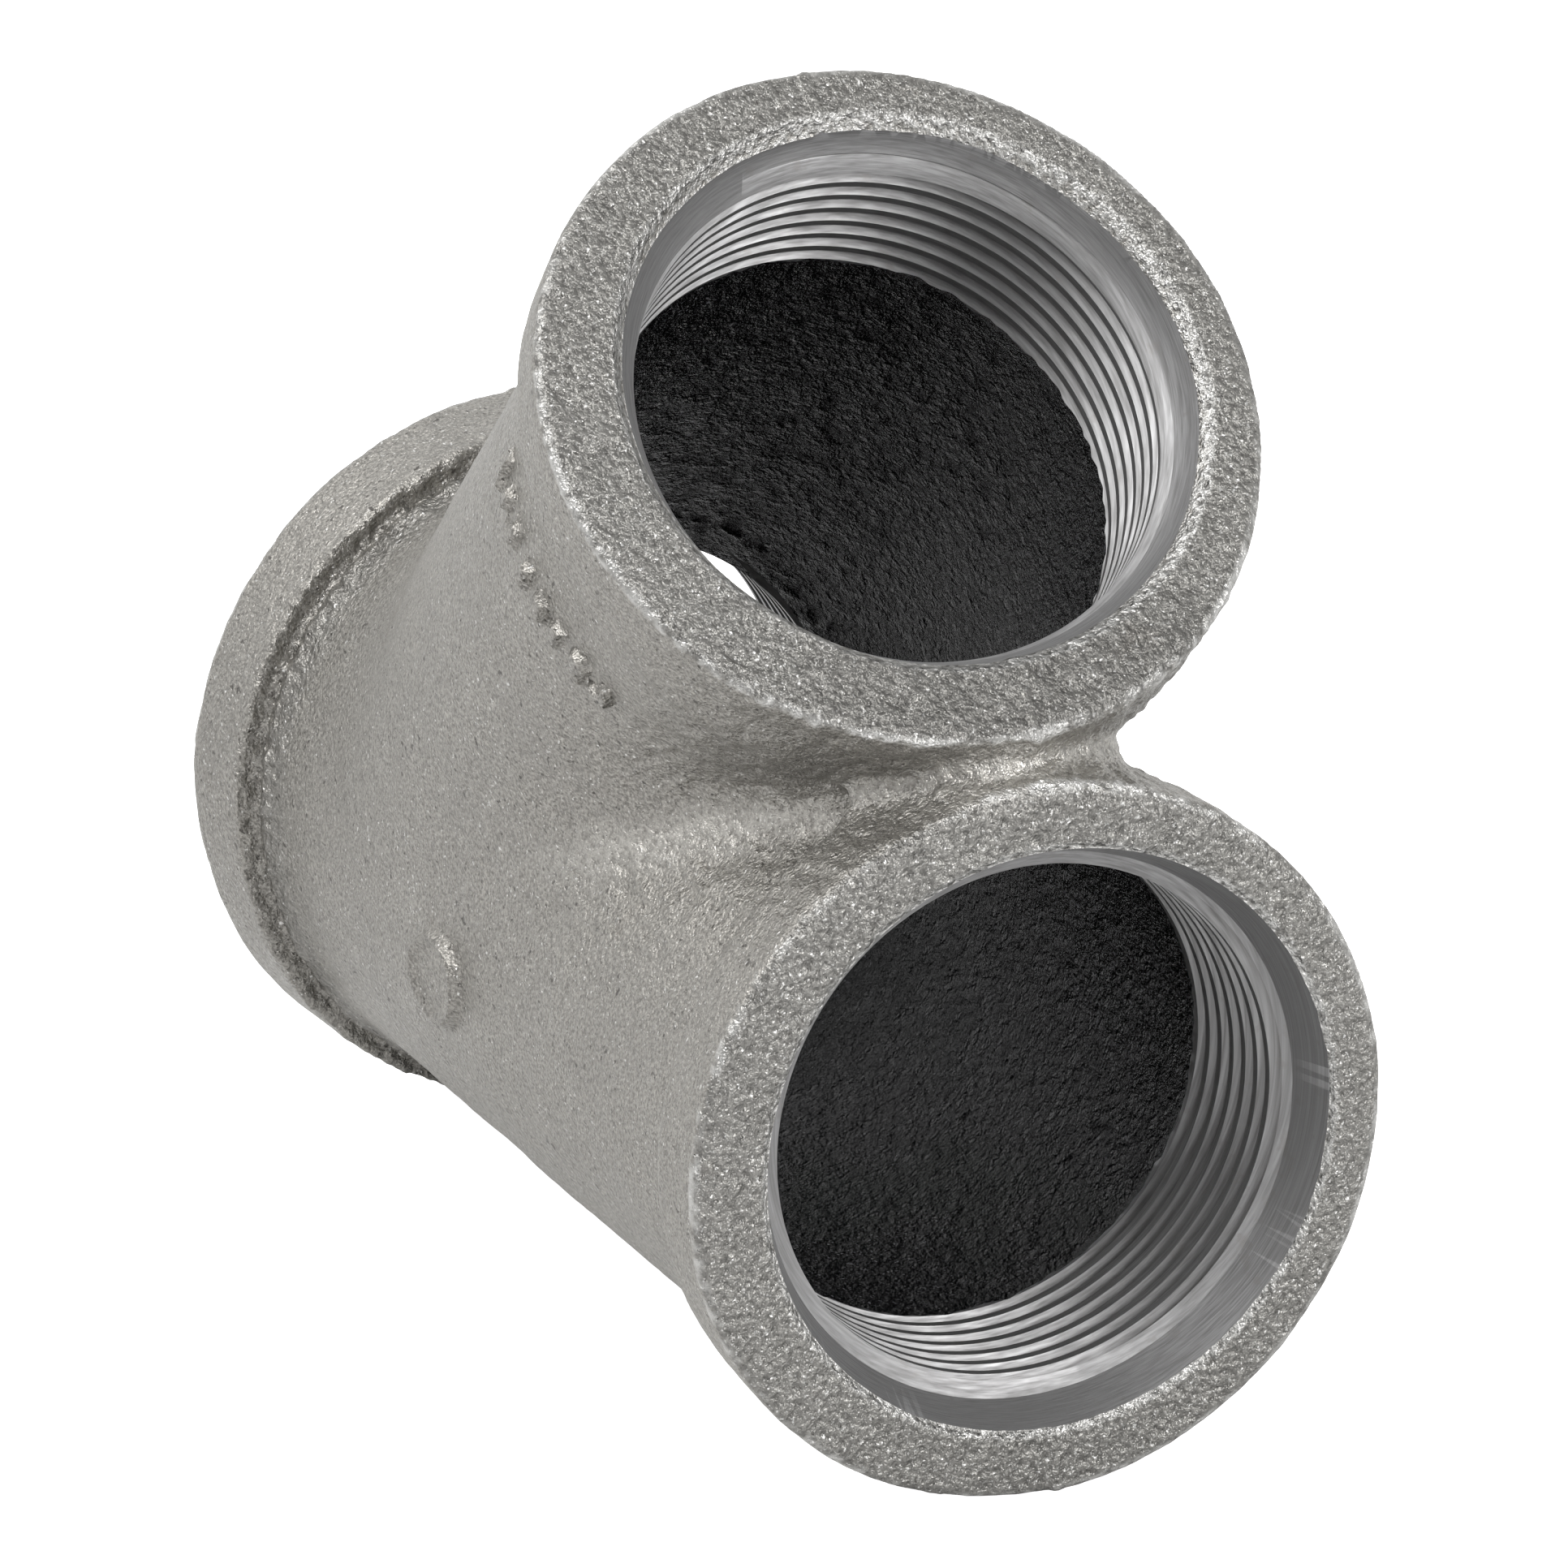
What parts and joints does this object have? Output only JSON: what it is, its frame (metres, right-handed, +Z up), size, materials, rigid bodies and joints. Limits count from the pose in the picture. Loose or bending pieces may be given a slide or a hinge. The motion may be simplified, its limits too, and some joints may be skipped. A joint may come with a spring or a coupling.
{
  "type": "45 degree lateral pipe fitting",
  "caption": "Banded cast-iron Y-branch pipe fitting: a straight run with an equal branch leaving it at 45 degrees, and a female tapered pipe thread in each end.",
  "frame": {"origin": "centre of the inlet end face", "axes": "+X runs along the straight run from the inlet to the run outlet, the branch climbs from it in the XZ plane at 45 degrees between +X and +Z, and +Z is up"},
  "size_m": [0.1113, 0.063, 0.1123],
  "materials": {
    "black_iron": "sand-cast malleable iron under a thin grey finish, with bright machined sockets and a black varnished inside"
  },
  "bodies": {
    "root": {"y_branch_casting": "black_iron"}
  },
  "joints": []
}
